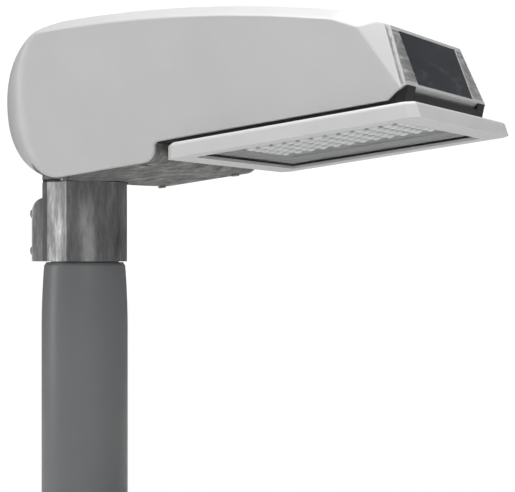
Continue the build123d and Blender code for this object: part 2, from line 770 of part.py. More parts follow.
# ---------------------------------------------------------------- light tray
glass_rear_u = tray_rear_u + rail_width
glass_front_u = tray_front_u - rail_width
glass_half = tray_half - rail_width
glass_middle_u = (glass_rear_u + glass_front_u) / 2
chamber_middle_u = (plateau_rear_u + plateau_front_u) / 2
chamber_length = plateau_front_u - plateau_rear_u - 2 * chamber_inset
chamber_half = plateau_half - chamber_inset
board_v = chamber_top_v - board_thickness
chip_v = board_v - chip_height
lens_top_v = chip_v - 0.1
lens_base_v = lens_top_v - lens_plate_thickness
field_length = lens_pitch * lens_columns + 2 * lens_plate_margin
field_width = lens_pitch * lens_rows + 2 * lens_plate_margin
lens_screw_places = [(lens_centre_u + a * lens_screw_u, b * lens_screw_y) for a in (-1, 1) for b in (-1, 1)]


def lens_places():
    """Centres of the lenses, leaving out those where a screw passes."""
    places = []
    for column in range(lens_columns):
        for row in range(lens_rows):
            u = lens_centre_u + (column - (lens_columns - 1) / 2) * lens_pitch
            y = (row - (lens_rows - 1) / 2) * lens_pitch
            if all(hypot(u - a, y - b) > lens_radius + lens_screw_head / 2 for a, b in lens_screw_places):
                places.append((u, y))
    return places


with BuildPart() as tray_frame:
    with BuildSketch(slice_at()):
        with BuildLine():
            Polyline((tray_rear_u, tray_bottom_v), (tray_rear_u + 1.5, tray_top_v), (tray_front_u, tray_top_v),
                     (tray_front_u + tray_front_lean, tray_bottom_v), (tray_rear_u, tray_bottom_v))
        make_face()
    extrude(amount=tray_half, both=True)
    upright = tray_frame.edges().filter_by(
        lambda e: abs(abs(e.center().Y) - tray_half) < 0.01 and e.length < 2 * (tray_top_v - tray_bottom_v))
    chamfer(upright, tray_corner)
    rim = tray_frame.faces().sort_by(lambda f: head.to_local_coords(f.center()).Z)[-1].edges()
    fillet(rim, tray_top_round)
    with BuildSketch(floor(tray_top_v - 3)):
        with Locations((chamber_middle_u, 0)):
            RectangleRounded(plateau_front_u - plateau_rear_u, 2 * plateau_half, 3)
    extrude(amount=plateau_v - tray_top_v + 3)
    with BuildSketch(floor(tray_bottom_v - 1)):
        with Locations((glass_middle_u, 0)):
            RectangleRounded(glass_front_u - glass_rear_u, 2 * glass_half, 3)
    extrude(amount=1 + glass_ledge_v - tray_bottom_v, mode=Mode.SUBTRACT)
    with BuildSketch(floor(tray_bottom_v)):
        with Locations((chamber_middle_u, 0)):
            RectangleRounded(chamber_length, 2 * chamber_half, 2)
    extrude(amount=chamber_top_v - tray_bottom_v, mode=Mode.SUBTRACT)
    for side in (-1, 1):
        for half_side in (-1, 1):
            eye_middle = side * hinge_y + half_side * (hinge_eye / 2 + hinge_side_gap + hinge_arm / 2)
            with BuildSketch(slice_at(eye_middle)):
                with Locations((hinge_u, hinge_v)):
                    Circle(hinge_eye_radius)
                with Locations(((hinge_u + tray_rear_u + 4) / 2, hinge_v - hinge_eye_radius / 2)):
                    Rectangle(tray_rear_u + 4 - hinge_u, hinge_eye_radius)
            extrude(amount=hinge_arm / 2, both=True)
        with BuildSketch(slice_at(side * hinge_y)):
            with Locations((hinge_u, hinge_v)):
                Circle(hinge_pin_radius + hinge_running)
        extrude(amount=hinge_eye, both=True, mode=Mode.SUBTRACT)
save(tray_frame, "tray_frame")

with BuildPart() as hinge_pins:
    pin_half = hinge_eye / 2 + hinge_side_gap + hinge_arm
    for side in (-1, 1):
        with BuildSketch(slice_at(side * hinge_y)):
            with Locations((hinge_u, hinge_v)):
                Circle(hinge_pin_radius)
        extrude(amount=pin_half + 0.3, both=True)
        for end in (-1, 1):
            with BuildSketch(slice_at(side * hinge_y + end * (pin_half + 0.3 + hinge_pin_head / 2))):
                with Locations((hinge_u, hinge_v)):
                    Circle(hinge_pin_radius * 1.5)
            extrude(amount=hinge_pin_head / 2, both=True)
save(hinge_pins, "hinge_pins")

with BuildPart() as latch_keepers:
    for side in (-1, 1):
        with BuildSketch(floor(tray_top_v)):
            with Locations((keeper_u - keeper_gap - keeper_wall / 2, side * hook_y)):
                Rectangle(keeper_wall, 2 * hook_half)
        extrude(amount=keeper_top_v - tray_top_v)
save(latch_keepers, "latch_keepers")

with BuildPart() as tray_glass:
    with BuildSketch(floor(glass_ledge_v - tray_glass_thickness)):
        with Locations((glass_middle_u, 0)):
            RectangleRounded(glass_front_u - glass_rear_u - 2 * bead_width,
                             2 * (glass_half - bead_width), 2)
    extrude(amount=tray_glass_thickness)
save(tray_glass, "tray_glass")

with BuildPart() as glass_bead:
    with BuildSketch(floor(glass_ledge_v - tray_glass_thickness - 0.6)):
        with Locations((glass_middle_u, 0)):
            RectangleRounded(glass_front_u - glass_rear_u, 2 * glass_half, 3)
            RectangleRounded(glass_front_u - glass_rear_u - 2 * bead_width,
                             2 * (glass_half - bead_width), 2, mode=Mode.SUBTRACT)
    extrude(amount=tray_glass_thickness + 0.6)
save(glass_bead, "glass_bead")

with BuildPart() as led_board:
    with BuildSketch(floor(board_v)):
        with Locations((lens_centre_u, 0)):
            Rectangle(field_length, field_width + 2 * board_margin)
        with Locations(*lens_screw_places):
            Circle(lens_screw_radius + 0.2, mode=Mode.SUBTRACT)
    extrude(amount=board_thickness)
save(led_board, "led_board")

with BuildPart() as led_chips:
    with BuildSketch(floor(chip_v)):
        with Locations(*lens_places()):
            Rectangle(chip_size, chip_size)
    extrude(amount=chip_height)
save(led_chips, "led_chips")

cap_radius = (lens_radius ** 2 + lens_drop ** 2) / (2 * lens_drop)
with BuildPart() as lens_plate:
    with BuildSketch(floor(lens_base_v)):
        with Locations((lens_centre_u, 0)):
            RectangleRounded(field_length, field_width, 6)
        with Locations(*lens_screw_places):
            Circle(lens_screw_radius + 0.2, mode=Mode.SUBTRACT)
    extrude(amount=lens_plate_thickness)
    with BuildSketch(Plane(origin=head.from_local_coords(Vector(0, 0, lens_base_v)), x_dir=head.x_dir,
                           z_dir=(0, -1, 0)), mode=Mode.PRIVATE) as dome_outline:
        with BuildLine():
            ThreePointArc((0, -lens_drop), (cap_radius * sin(0.3), cap_radius * (1 - cos(0.3)) - lens_drop),
                          (lens_radius, 0))
            Polyline((lens_radius, 0), (0, 0), (0, -lens_drop))
        make_face()
    dome = revolve(dome_outline.sketch, Axis(head.from_local_coords(Vector(0, 0, lens_base_v)), head.z_dir),
                   mode=Mode.PRIVATE)
    for u, y in lens_places():
        add(dome.moved(Location(head.x_dir * u + Vector(0, y, 0))))
save(lens_plate, "lens_plate")

with BuildPart() as lens_screws:
    with BuildSketch(floor(lens_base_v)):
        with Locations(*lens_screw_places):
            Circle(lens_screw_head)
    extrude(amount=-1.6)
    with BuildSketch(floor(lens_base_v)):
        with Locations(*lens_screw_places):
            Circle(lens_screw_radius)
    extrude(amount=chamber_top_v - lens_base_v)
save(lens_screws, "lens_screws")

with BuildPart() as reflector_plate:
    with BuildSketch(floor(lens_base_v)):
        with Locations((chamber_middle_u, 0)):
            RectangleRounded(chamber_length - 1, 2 * chamber_half - 1, 2)
        with Locations((lens_centre_u, 0)):
            RectangleRounded(field_length + reflector_gap, field_width + reflector_gap, 6,
                             mode=Mode.SUBTRACT)
    extrude(amount=reflector_thickness)
save(reflector_plate, "reflector_plate")

with BuildPart() as heat_sink:
    with BuildSketch(floor(plateau_v)):
        with Locations((lens_centre_u, 0)):
            Rectangle(sink_length, 2 * sink_half)
    extrude(amount=sink_base)
    with BuildSketch(floor(plateau_v + sink_base)):
        with Locations((lens_centre_u, 0)):
            with GridLocations(0, (2 * sink_half - sink_fin) / (sink_fins - 1), 1, sink_fins):
                Rectangle(sink_length, sink_fin)
    extrude(amount=sink_height - sink_base)
save(heat_sink, "heat_sink")

# ---------------------------------------------------------------- battery and electrics
with BuildPart() as battery_cells:
    for place in cell_u:
        for side in (-1, 1):
            with BuildSketch(slice_at(side * cell_y)):
                with Locations((place, cell_v)):
                    Circle(cell_radius)
            extrude(amount=cell_length / 2, both=True)
save(battery_cells, "battery_cells")

cradle_floor_v = cell_v - cell_radius - cradle_thickness
cradle_start_u = cell_u[0] - cell_radius - 2
cradle_end_u = cell_u[-1] + cell_radius + 2
with BuildPart() as battery_cradle:
    with BuildSketch(cross_at(cradle_start_u)):
        with BuildLine():
            Polyline((-base_half, cell_v), (-base_half, cradle_floor_v), (base_half, cradle_floor_v),
                     (base_half, cell_v), (base_half - cradle_thickness, cell_v),
                     (base_half - cradle_thickness, cradle_floor_v + cradle_thickness),
                     (-base_half + cradle_thickness, cradle_floor_v + cradle_thickness),
                     (-base_half + cradle_thickness, cell_v), (-base_half, cell_v))
        make_face()
    extrude(amount=cradle_end_u - cradle_start_u)
save(battery_cradle, "battery_cradle")

with BuildPart() as battery_straps:
    for side in (-1, 1):
        with BuildSketch(slice_at(side * cell_y)):
            with Locations(((cell_u[0] + cell_u[-1]) / 2, cell_v)):
                SlotOverall(cell_u[-1] - cell_u[0] + 2 * cell_radius + 2 * strap_thickness + 0.4,
                            2 * cell_radius + 2 * strap_thickness + 0.4)
                SlotOverall(cell_u[-1] - cell_u[0] + 2 * cell_radius + 0.4, 2 * cell_radius + 0.4,
                            mode=Mode.SUBTRACT)
            with Locations(((cell_u[0] + cell_u[-1]) / 2, cradle_floor_v)):
                Rectangle(400, 2 * cradle_thickness + 0.6, mode=Mode.SUBTRACT)
        extrude(amount=strap_width / 2, both=True)
save(battery_straps, "battery_straps")

box_floor_v = belly_v + base_wall
with BuildPart() as charge_controller:
    with BuildSketch(floor(box_floor_v)):
        with Locations(controller_place):
            RectangleRounded(controller_size[0], controller_size[1], 3)
    extrude(amount=controller_size[2])
    fillet(charge_controller.faces().sort_by(lambda f: f.center().Z)[-1].edges(), 1.5)
save(charge_controller, "charge_controller")

with BuildPart() as led_driver:
    with BuildSketch(floor(box_floor_v)):
        with Locations(driver_place):
            RectangleRounded(driver_size[0], driver_size[1], 3)
    extrude(amount=driver_size[2])
    fillet(led_driver.faces().sort_by(lambda f: f.center().Z)[-1].edges(), 1.5)
save(led_driver, "led_driver")

with BuildPart() as terminal_block:
    with BuildSketch(floor(box_floor_v)):
        with Locations(terminal_place):
            Rectangle(terminal_size[0], terminal_size[1])
    extrude(amount=terminal_size[2])
    with BuildSketch(floor(box_floor_v + terminal_size[2])):
        with Locations(terminal_place):
            with GridLocations(terminal_size[0] / 5, terminal_size[1] / 2, 5, 2):
                Circle(1.8)
    extrude(amount=-3, mode=Mode.SUBTRACT)
save(terminal_block, "terminal_block")
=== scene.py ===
import json
from math import cos, hypot, radians, sin

import bpy
import numpy as np
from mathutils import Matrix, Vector


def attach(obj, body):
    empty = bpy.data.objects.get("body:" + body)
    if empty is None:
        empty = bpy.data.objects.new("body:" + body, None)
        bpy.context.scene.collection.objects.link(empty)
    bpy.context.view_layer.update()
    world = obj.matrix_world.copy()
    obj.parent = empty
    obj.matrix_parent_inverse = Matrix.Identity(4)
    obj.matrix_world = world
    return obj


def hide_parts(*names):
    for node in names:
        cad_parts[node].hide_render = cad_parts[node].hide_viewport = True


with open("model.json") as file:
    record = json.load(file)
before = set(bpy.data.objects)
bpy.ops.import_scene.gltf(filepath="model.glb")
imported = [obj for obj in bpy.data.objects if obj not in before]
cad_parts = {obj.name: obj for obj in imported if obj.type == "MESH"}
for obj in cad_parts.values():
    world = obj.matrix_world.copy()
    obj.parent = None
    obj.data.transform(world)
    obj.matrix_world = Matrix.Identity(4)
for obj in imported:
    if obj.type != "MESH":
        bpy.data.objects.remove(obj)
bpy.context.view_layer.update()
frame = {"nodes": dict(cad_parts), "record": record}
nodes = frame["nodes"]

# ------------------------------------------------------------------ the head's own frame
# u runs along the head, y across it and v square to both, in millimetres; the head is
# pitched nose-up about the point where its floor plane crosses the pole's axis.
TILT = radians(6.5)
PIVOT_Z = 320.0
HALF = 88.0
WALL = 3.0
TAIL_U, TAIL_MID_V, TAIL_TOP_V = -36.6, 31.3, 101.0
TAIL_TOP_U, TAIL_BOTTOM_U = 57.0, 32.9
TAIL_FULL_TOP, TAIL_FULL_SIDE, TAIL_FULL_BOTTOM = 0.664, 0.81, 0.6
TAIL_DEPTH = 45.0
BELLY_V, RIM_V = -29.4, -14.5
HEEL_U, HEEL_ROUND, RIM_ROUND = 126.5, 11.0, 3.5
RIM_FRONT_U = 331.0
NOSE_BOTTOM, NOSE_TOP, ROOF_FRONT = (345.3, -4.7), (332.8, 43.3), (296.0, 61.0)
ROOF_MID, ROOF_TAIL = (170.0, 87.8), (36.0, 101.0)
BEVEL_DROP, BEVEL_INSET = 8.5, 11.0
CORE = (100.0, 20.0)
LENS_PITCH, LENS_CENTRE_U = 12.1, 250.0

# what is cut from the shell: floor opening, roof laminate and nose window
FLOOR_HALF, FLOOR_REAR_U, FLOOR_FRONT_U, FLOOR_TOP_V = 85.0, 3.6, 330.0, -4.0
ROOF_PANEL_REAR_U, ROOF_PANEL_FRONT_U, ROOF_PANEL_HALF, ROOF_PANEL_FOOT_V = 62.0, 284.0, 66.0, 40.0
WINDOW_HALF, WINDOW_REAR_U, WINDOW_FOOT_V, WINDOW_TOP_V = 59.0, 331.0, -2.3, 40.7
EDGE_ROUND = 1.3
MERGE_GAP = 0.02


def place(u, y, v):
    """Points of the head's frame, in millimetres, as rows of world metres."""
    u, y, v = np.broadcast_arrays(np.asarray(u, float), np.asarray(y, float), np.asarray(v, float))
    x = u * cos(TILT) - v * sin(TILT)
    z = PIVOT_Z + u * sin(TILT) + v * cos(TILT)
    return np.stack([x, y, z], axis=-1).reshape(-1, 3) / 1000.0


# ------------------------------------------------------------------ mesh helpers
def make_piece(name, points, faces, material, body, sharp=28.0):
    """Mesh object at the origin from rows of points and rows of faces, shaded smooth up to an angle."""
    mesh = bpy.data.meshes.new(name)
    mesh.from_pydata(np.asarray(points).tolist(), [], [list(f) for f in faces])
    mesh.validate()
    mesh.polygons.foreach_set("use_smooth", np.ones(len(mesh.polygons), dtype=bool))
    mesh.set_sharp_from_angle(angle=radians(sharp))
    mesh.materials.append(material)
    mesh.update()
    piece = bpy.data.objects.new(name, mesh)
    bpy.context.collection.objects.link(piece)
    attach(piece, body)
    return piece


def grid_faces(rows, columns, wrap_rows=False, wrap_columns=False, start=0):
    """Quads of a rows x columns grid of points; a wrapped direction joins its last line to its first."""
    i = np.arange(rows if wrap_rows else rows - 1)
    j = np.arange(columns if wrap_columns else columns - 1)
    i, j = np.meshgrid(i, j, indexing="ij")
    i2, j2 = (i + 1) % rows, (j + 1) % columns
    quads = np.stack([i * columns + j, i2 * columns + j, i2 * columns + j2, i * columns + j2], axis=-1)
    return quads.reshape(-1, 4) + start


def rim_faces(faces, shift):
    """Quads that join each open edge of a sheet to the same edge of its copy, shift points later."""
    pairs = np.concatenate([faces[:, [k, (k + 1) % faces.shape[1]]] for k in range(faces.shape[1])])
    pairs = pairs[pairs[:, 0] != pairs[:, 1]]
    key = np.sort(pairs, axis=1)
    _, first, count = np.unique(key, axis=0, return_index=True, return_counts=True)
    edge = pairs[first[count == 1]]
    return np.stack([edge[:, 1], edge[:, 0], edge[:, 0] + shift, edge[:, 1] + shift], axis=-1)


# ------------------------------------------------------------------ materials
def new_material(name, colour, roughness, metallic=0.0):
    """Material with a Principled shader whose plain values sit on its own sockets."""
    material = bpy.data.materials.new(name)
    material.use_nodes = True
    shader = material.node_tree.nodes["Principled BSDF"]
    shader.inputs["Base Color"].default_value = (*colour, 1.0)
    shader.inputs["Roughness"].default_value = roughness
    shader.inputs["Metallic"].default_value = metallic
    return material, material.node_tree, shader


def noise(tree, scale, detail=3.0, stretch=(1, 1, 1), rough=0.5):
    """Noise on the object's own coordinates, stretched along an axis."""
    coords = tree.nodes.new("ShaderNodeTexCoord")
    mapping = tree.nodes.new("ShaderNodeMapping")
    mapping.inputs["Scale"].default_value = stretch
    texture = tree.nodes.new("ShaderNodeTexNoise")
    texture.inputs["Scale"].default_value = scale
    texture.inputs["Detail"].default_value = detail
    texture.inputs["Roughness"].default_value = rough
    tree.links.new(coords.outputs["Object"], mapping.inputs["Vector"])
    tree.links.new(mapping.outputs["Vector"], texture.inputs["Vector"])
    return texture.outputs["Fac"]


def ramp(tree, source, stops):
    """Colour ramp through (position, colour) stops."""
    node = tree.nodes.new("ShaderNodeValToRGB")
    while len(node.color_ramp.elements) < len(stops):
        node.color_ramp.elements.new(0.5)
    for element, (position, colour) in zip(node.color_ramp.elements, stops):
        element.position = position
        element.color = (*colour, 1.0) if len(colour) == 3 else colour
    tree.links.new(source, node.inputs["Fac"])
    return node.outputs["Color"]


def bump(tree, shader, height, strength, distance):
    """Bump on a shader from a height."""
    node = tree.nodes.new("ShaderNodeBump")
    node.inputs["Strength"].default_value = strength
    node.inputs["Distance"].default_value = distance
    tree.links.new(height, node.inputs["Height"])
    tree.links.new(node.outputs["Normal"], shader.inputs["Normal"])


def grey(value, tint=(1.0, 1.0, 1.0)):
    """Grey of one value, with a slight tint."""
    return tuple(value * t for t in tint)


def powder_coat(name, value, roughness, tint=(1.0, 1.0, 1.0), grain=0.06):
    """Sprayed powder coat: slight cloudiness, an orange-peel skin and a thin clear layer."""
    material, tree, shader = new_material(name, grey(value, tint), roughness)
    cloud = noise(tree, 14.0, 4.0)
    colour = ramp(tree, cloud, [(0.30, grey(value * 0.965, tint)), (0.70, grey(value * 1.03, tint))])
    tree.links.new(colour, shader.inputs["Base Color"])
    peel = noise(tree, 900.0, 2.0)
    fine = noise(tree, 55.0, 3.0)
    sheen = ramp(tree, fine, [(0.3, grey(roughness - 0.03)), (0.7, grey(roughness + 0.04))])
    tree.links.new(sheen, shader.inputs["Roughness"])
    bump(tree, shader, peel, grain, 0.0004)
    shader.inputs["Coat Weight"].default_value = 0.25
    shader.inputs["Coat Roughness"].default_value = 0.22
    return material


def cast_metal(name, value, roughness, metallic, tint=(1.0, 1.0, 1.0), depth=0.35, grain=(1, 1, 1)):
    """Bare or thinly finished casting: mottled tone, pitted skin and faint vertical die marks."""
    material, tree, shader = new_material(name, grey(value, tint), roughness, metallic)
    mottle_and_reflection_streaks = noise(tree, 85.0, 7.0, stretch=grain, rough=0.68)
    # the tone swings from 0.4 to 1.7 times the base value: random cast mottle, and where it is drawn out
    # upright on the collar, painted reflection streaks as well
    colour = ramp(tree, mottle_and_reflection_streaks, [(0.30, grey(value * 0.40, tint)), (0.5, grey(value * 0.9, tint)),
                                 (0.68, grey(min(1.0, value * 1.7), tint))])
    tree.links.new(colour, shader.inputs["Base Color"])
    skin = noise(tree, 420.0, 4.0, stretch=(1, 1, 0.35))
    sheen = ramp(tree, mottle_and_reflection_streaks, [(0.3, grey(roughness + 0.12)), (0.7, grey(roughness - 0.08))])
    tree.links.new(sheen, shader.inputs["Roughness"])
    bump(tree, shader, skin, depth, 0.0006)
    return material


def moulded(name, value, roughness, tint=(1.0, 1.0, 1.0)):
    """Moulded plastic or rubber: faint flow clouds and a fine matt spark texture."""
    material, tree, shader = new_material(name, grey(value, tint), roughness)
    cloud = noise(tree, 30.0, 3.0)
    colour = ramp(tree, cloud, [(0.3, grey(value * 0.8, tint)), (0.7, grey(value * 1.25, tint))])
    tree.links.new(colour, shader.inputs["Base Color"])
    bump(tree, shader, noise(tree, 1400.0, 2.0), 0.15, 0.0002)
    return material


def machined_steel(name, value, roughness):
    """Turned steel with fine rings of tool marks and a slightly uneven sheen."""
    material, tree, shader = new_material(name, grey(value), roughness, 1.0)
    marks = noise(tree, 260.0, 3.0, stretch=(1, 1, 6))
    colour = ramp(tree, marks, [(0.3, grey(value * 0.8)), (0.7, grey(value * 1.15))])
    tree.links.new(colour, shader.inputs["Base Color"])
    bump(tree, shader, marks, 0.15, 0.0002)
    return material


def lens_array_with_painted_glints(name):
    """Moulded lens sheet: painted highlights on the domes along the lens pitch, with painted shade in the
    seams between them.
    """
    material, tree, shader = new_material(name, (0.9, 0.9, 0.9), 0.12)
    coords = tree.nodes.new("ShaderNodeTexCoord")
    lattice = tree.nodes.new("ShaderNodeMapping")
    scale = 1000.0 / LENS_PITCH
    lattice.inputs["Scale"].default_value = (scale, scale, scale)
    lattice.inputs["Rotation"].default_value = (0.0, TILT, 0.0)
    shift = -scale * (PIVOT_Z * sin(TILT) + LENS_CENTRE_U) / 1000.0
    lattice.inputs["Location"].default_value = (shift, 0.0, 0.0)
    tree.links.new(coords.outputs["Object"], lattice.inputs["Vector"])
    cell = tree.nodes.new("ShaderNodeVectorMath")
    cell.operation = "FRACTION"
    tree.links.new(lattice.outputs["Vector"], cell.inputs[0])
    from_centre = tree.nodes.new("ShaderNodeVectorMath")
    from_centre.operation = "SUBTRACT"
    from_centre.inputs[1].default_value = (0.5, 0.5, 0.0)
    tree.links.new(cell.outputs["Vector"], from_centre.inputs[0])
    flat = tree.nodes.new("ShaderNodeVectorMath")
    flat.operation = "MULTIPLY"
    flat.inputs[1].default_value = (1.0, 1.0, 0.0)
    tree.links.new(from_centre.outputs["Vector"], flat.inputs[0])
    radius = tree.nodes.new("ShaderNodeVectorMath")
    radius.operation = "LENGTH"
    tree.links.new(flat.outputs["Vector"], radius.inputs[0])
    # near-white dome centres are painted glints and near-black seams are painted shade, not the clear
    # plastic's own colour
    colour = ramp(tree, radius.outputs["Value"], [(0.20, grey(0.97)), (0.34, grey(0.80)), (0.44, grey(0.10))])
    tree.links.new(colour, shader.inputs["Base Color"])
    shader.inputs["Coat Weight"].default_value = 0.6
    return material


def clear_glass(name, tint, roughness=0.02, index=1.5):
    """Clear sheet glass with a little handling haze in its sheen."""
    material, tree, shader = new_material(name, tint, roughness)
    shader.inputs["Transmission Weight"].default_value = 1.0
    shader.inputs["IOR"].default_value = index
    haze = ramp(tree, noise(tree, 40.0, 4.0), [(0.35, grey(roughness)), (0.75, grey(roughness + 0.012))])
    tree.links.new(haze, shader.inputs["Roughness"])
    return material


def dark_window(name):
    """Tinted window over dark cells: blue-black with faint lighter streaks."""
    material, tree, shader = new_material(name, (0.01, 0.014, 0.02), 0.12)
    shader.inputs["Specular IOR Level"].default_value = 0.28
    streak = noise(tree, 46.0, 5.0, stretch=(1.0, 0.45, 1.6), rough=0.7)
    colour = ramp(tree, streak, [(0.38, (0.004, 0.006, 0.010)), (0.56, (0.008, 0.012, 0.018)),
                                 (0.64, (0.034, 0.046, 0.056)), (0.70, (0.008, 0.012, 0.018))])
    tree.links.new(colour, shader.inputs["Base Color"])
    return material


def solar_silicon(name):
    """Solar cell silicon: near-black blue, clouded by its crystals."""
    material, tree, shader = new_material(name, (0.012, 0.018, 0.032), 0.25)
    cloud = ramp(tree, noise(tree, 60.0, 5.0), [(0.35, (0.006, 0.009, 0.017)), (0.7, (0.022, 0.032, 0.052))])
    tree.links.new(cloud, shader.inputs["Base Color"])
    return material


shell_paint = powder_coat("silver_powder_coat", 0.57, 0.38)
tray_paint = powder_coat("tray_powder_coat", 0.66, 0.38)
# the nose's coat is the shell's silver set a little darker: painted shade for the front face, which turns
# away from the light
bezel_paint = powder_coat("nose_coat_painted_shade", 0.52, 0.40)
pole_paint = powder_coat("pole_grey_paint", 0.165, 0.42, (0.97, 1.0, 1.02), 0.10)
# the collar's mottle is stretched upright into strong light and dark streaks: painted reflections on the bare
# metal, beside its real cast mottle
collar_metal = cast_metal("raw_cast_aluminium", 0.30, 0.34, 0.9, grain=(1.0, 1.0, 0.22))
base_metal = cast_metal("dull_base_casting", 0.20, 0.6, 0.3, (0.97, 1.0, 0.93), 0.2)
screw_steel = machined_steel("screw_steel", 0.42, 0.35)
black_rubber = moulded("black_rubber", 0.012, 0.6)
black_plastic = moulded("black_moulding", 0.010, 0.35)
board_white = moulded("white_board_mask", 0.62, 0.45)
chip_yellow = moulded("led_phosphor", 0.55, 0.3, (1.0, 0.82, 0.22))
reflector_metal = cast_metal("satin_reflector", 0.30, 0.4, 0.9, depth=0.08)
sink_metal = cast_metal("extruded_sink", 0.50, 0.4, 0.9, depth=0.12)
battery_wrap = moulded("blue_cell_wrap", 0.30, 0.3, (0.15, 0.5, 1.0))
case_plastic = moulded("dark_case_plastic", 0.05, 0.5)
terminal_plastic = moulded("green_terminal_plastic", 0.16, 0.5, (0.5, 1.0, 0.6))
window_pane = dark_window("window_glass")
tray_pane = clear_glass("tray_glass", (0.99, 1.0, 0.995), 0.0, 1.03)
# the lens sheet's colour carries painted glints on its domes and painted shade between them
lens_plastic = lens_array_with_painted_glints("lens_plastic_painted_glints")
cell_silicon = solar_silicon("solar_silicon")

finish_of = {
    "pole_paint": pole_paint, "collar_cast": collar_metal, "steel_screw": screw_steel,
    "black_rubber": black_rubber, "base_cast": base_metal, "shell_paint": shell_paint,
    "bezel_paint": bezel_paint, "window_glass": window_pane, "solar_cell": cell_silicon,
    "backing": black_plastic, "black_frame": black_plastic, "tray_paint": tray_paint,
    "tray_glass": tray_pane, "board": board_white, "chip": chip_yellow, "lens_plastic": lens_plastic,
    "reflector": reflector_metal, "sink": sink_metal, "battery_wrap": battery_wrap,
    "cradle": black_plastic, "electronics_case": case_plastic, "terminal": terminal_plastic,
}
for part in frame["record"]["subparts"]:
    slots = nodes[part["node"]].data.materials
    slots.clear()
    slots.append(finish_of[part["material_slot"]])


# ------------------------------------------------------------------ housing shell
def bezier(points, count):
    """Cubic curves through four rows of control points: the Bernstein sum of the points, by parameter."""
    t = np.linspace(0.0, 1.0, count)[:, None, None]
    p = np.asarray(points, float)
    return ((1 - t) ** 3 * p[0] + 3 * (1 - t) ** 2 * t * p[1] + 3 * (1 - t) * t ** 2 * p[2] + t ** 3 * p[3])


def arc(centre, radius, start, end, count):
    """Points of a circular arc between two angles in degrees."""
    a = np.radians(np.linspace(start, end, count))
    return np.stack([centre[0] + radius * np.cos(a), centre[1] + radius * np.sin(a)], axis=-1)


def circle_through(a, b, c):
    """Centre and radius of the circle through three points."""
    d = 2 * (a[0] * (b[1] - c[1]) + b[0] * (c[1] - a[1]) + c[0] * (a[1] - b[1]))
    aa, bb, cc = (p[0] ** 2 + p[1] ** 2 for p in (a, b, c))
    x = (aa * (b[1] - c[1]) + bb * (c[1] - a[1]) + cc * (a[1] - b[1])) / d
    y = (aa * (c[0] - b[0]) + bb * (a[0] - c[0]) + cc * (b[0] - a[0])) / d
    return (x, y), hypot(a[0] - x, a[1] - y)


ROOF_CENTRE, ROOF_RADIUS = circle_through(ROOF_TAIL, ROOF_MID, ROOF_FRONT)


def roof_v(u, depth=0.0):
    """Height of the roof's arc at u, or of the arc a depth below it."""
    return ROOF_CENTRE[1] + np.sqrt((ROOF_RADIUS - depth) ** 2 - (np.asarray(u, float) - ROOF_CENTRE[0]) ** 2)


def side_outlines(y):
    """Outlines of the head at widths y, each one closed run of points, as rows x widths x 2.

    All runs share their points but for the tail, whose upper and lower curves draw in towards the
    sides by a quarter circle: depth times 1 minus the root of 1 minus q squared, with q the way across.
    """
    q = np.clip((np.abs(y) - (HALF - TAIL_DEPTH)) / TAIL_DEPTH, 0.0, 1.0)
    ease = 1 - np.sqrt(1 - q ** 2)
    rear = TAIL_U + TAIL_DEPTH * ease
    full = TAIL_FULL_TOP + (TAIL_FULL_SIDE - TAIL_FULL_TOP) * ease
    rise, fall = TAIL_TOP_V - TAIL_MID_V, BELLY_V - TAIL_MID_V
    even = np.ones_like(rear)

    def rows(*pairs):
        return np.stack([np.stack([u * even, v * even], axis=-1) for u, v in pairs])

    upper = bezier(rows((TAIL_TOP_U, TAIL_TOP_V), (TAIL_TOP_U - full * (TAIL_TOP_U - rear), TAIL_TOP_V),
                        (rear, TAIL_MID_V + full * rise), (rear, TAIL_MID_V)), 140)
    lower = bezier(rows((rear, TAIL_MID_V), (rear, TAIL_MID_V + TAIL_FULL_BOTTOM * fall),
                        (TAIL_BOTTOM_U - TAIL_FULL_BOTTOM * (TAIL_BOTTOM_U - rear), BELLY_V),
                        (TAIL_BOTTOM_U, BELLY_V)), 120)
    u = np.linspace(ROOF_FRONT[0], TAIL_TOP_U + 0.5, 160)
    heel = arc((HEEL_U - HEEL_ROUND, BELLY_V + HEEL_ROUND), HEEL_ROUND, -90, 0, 30)
    notch = arc((HEEL_U + RIM_ROUND, RIM_V - RIM_ROUND), RIM_ROUND, 180, 90, 16)
    start = np.array([(RIM_FRONT_U, RIM_V), NOSE_BOTTOM, NOSE_TOP])
    shared = [np.repeat(part[:, None, :], len(even), axis=1)
              for part in (np.concatenate([start, np.stack([u, roof_v(u)], axis=-1)]), heel,
                           notch, start[:1])]
    return np.concatenate([shared[0], upper, lower[1:], shared[1], shared[2], shared[3]])


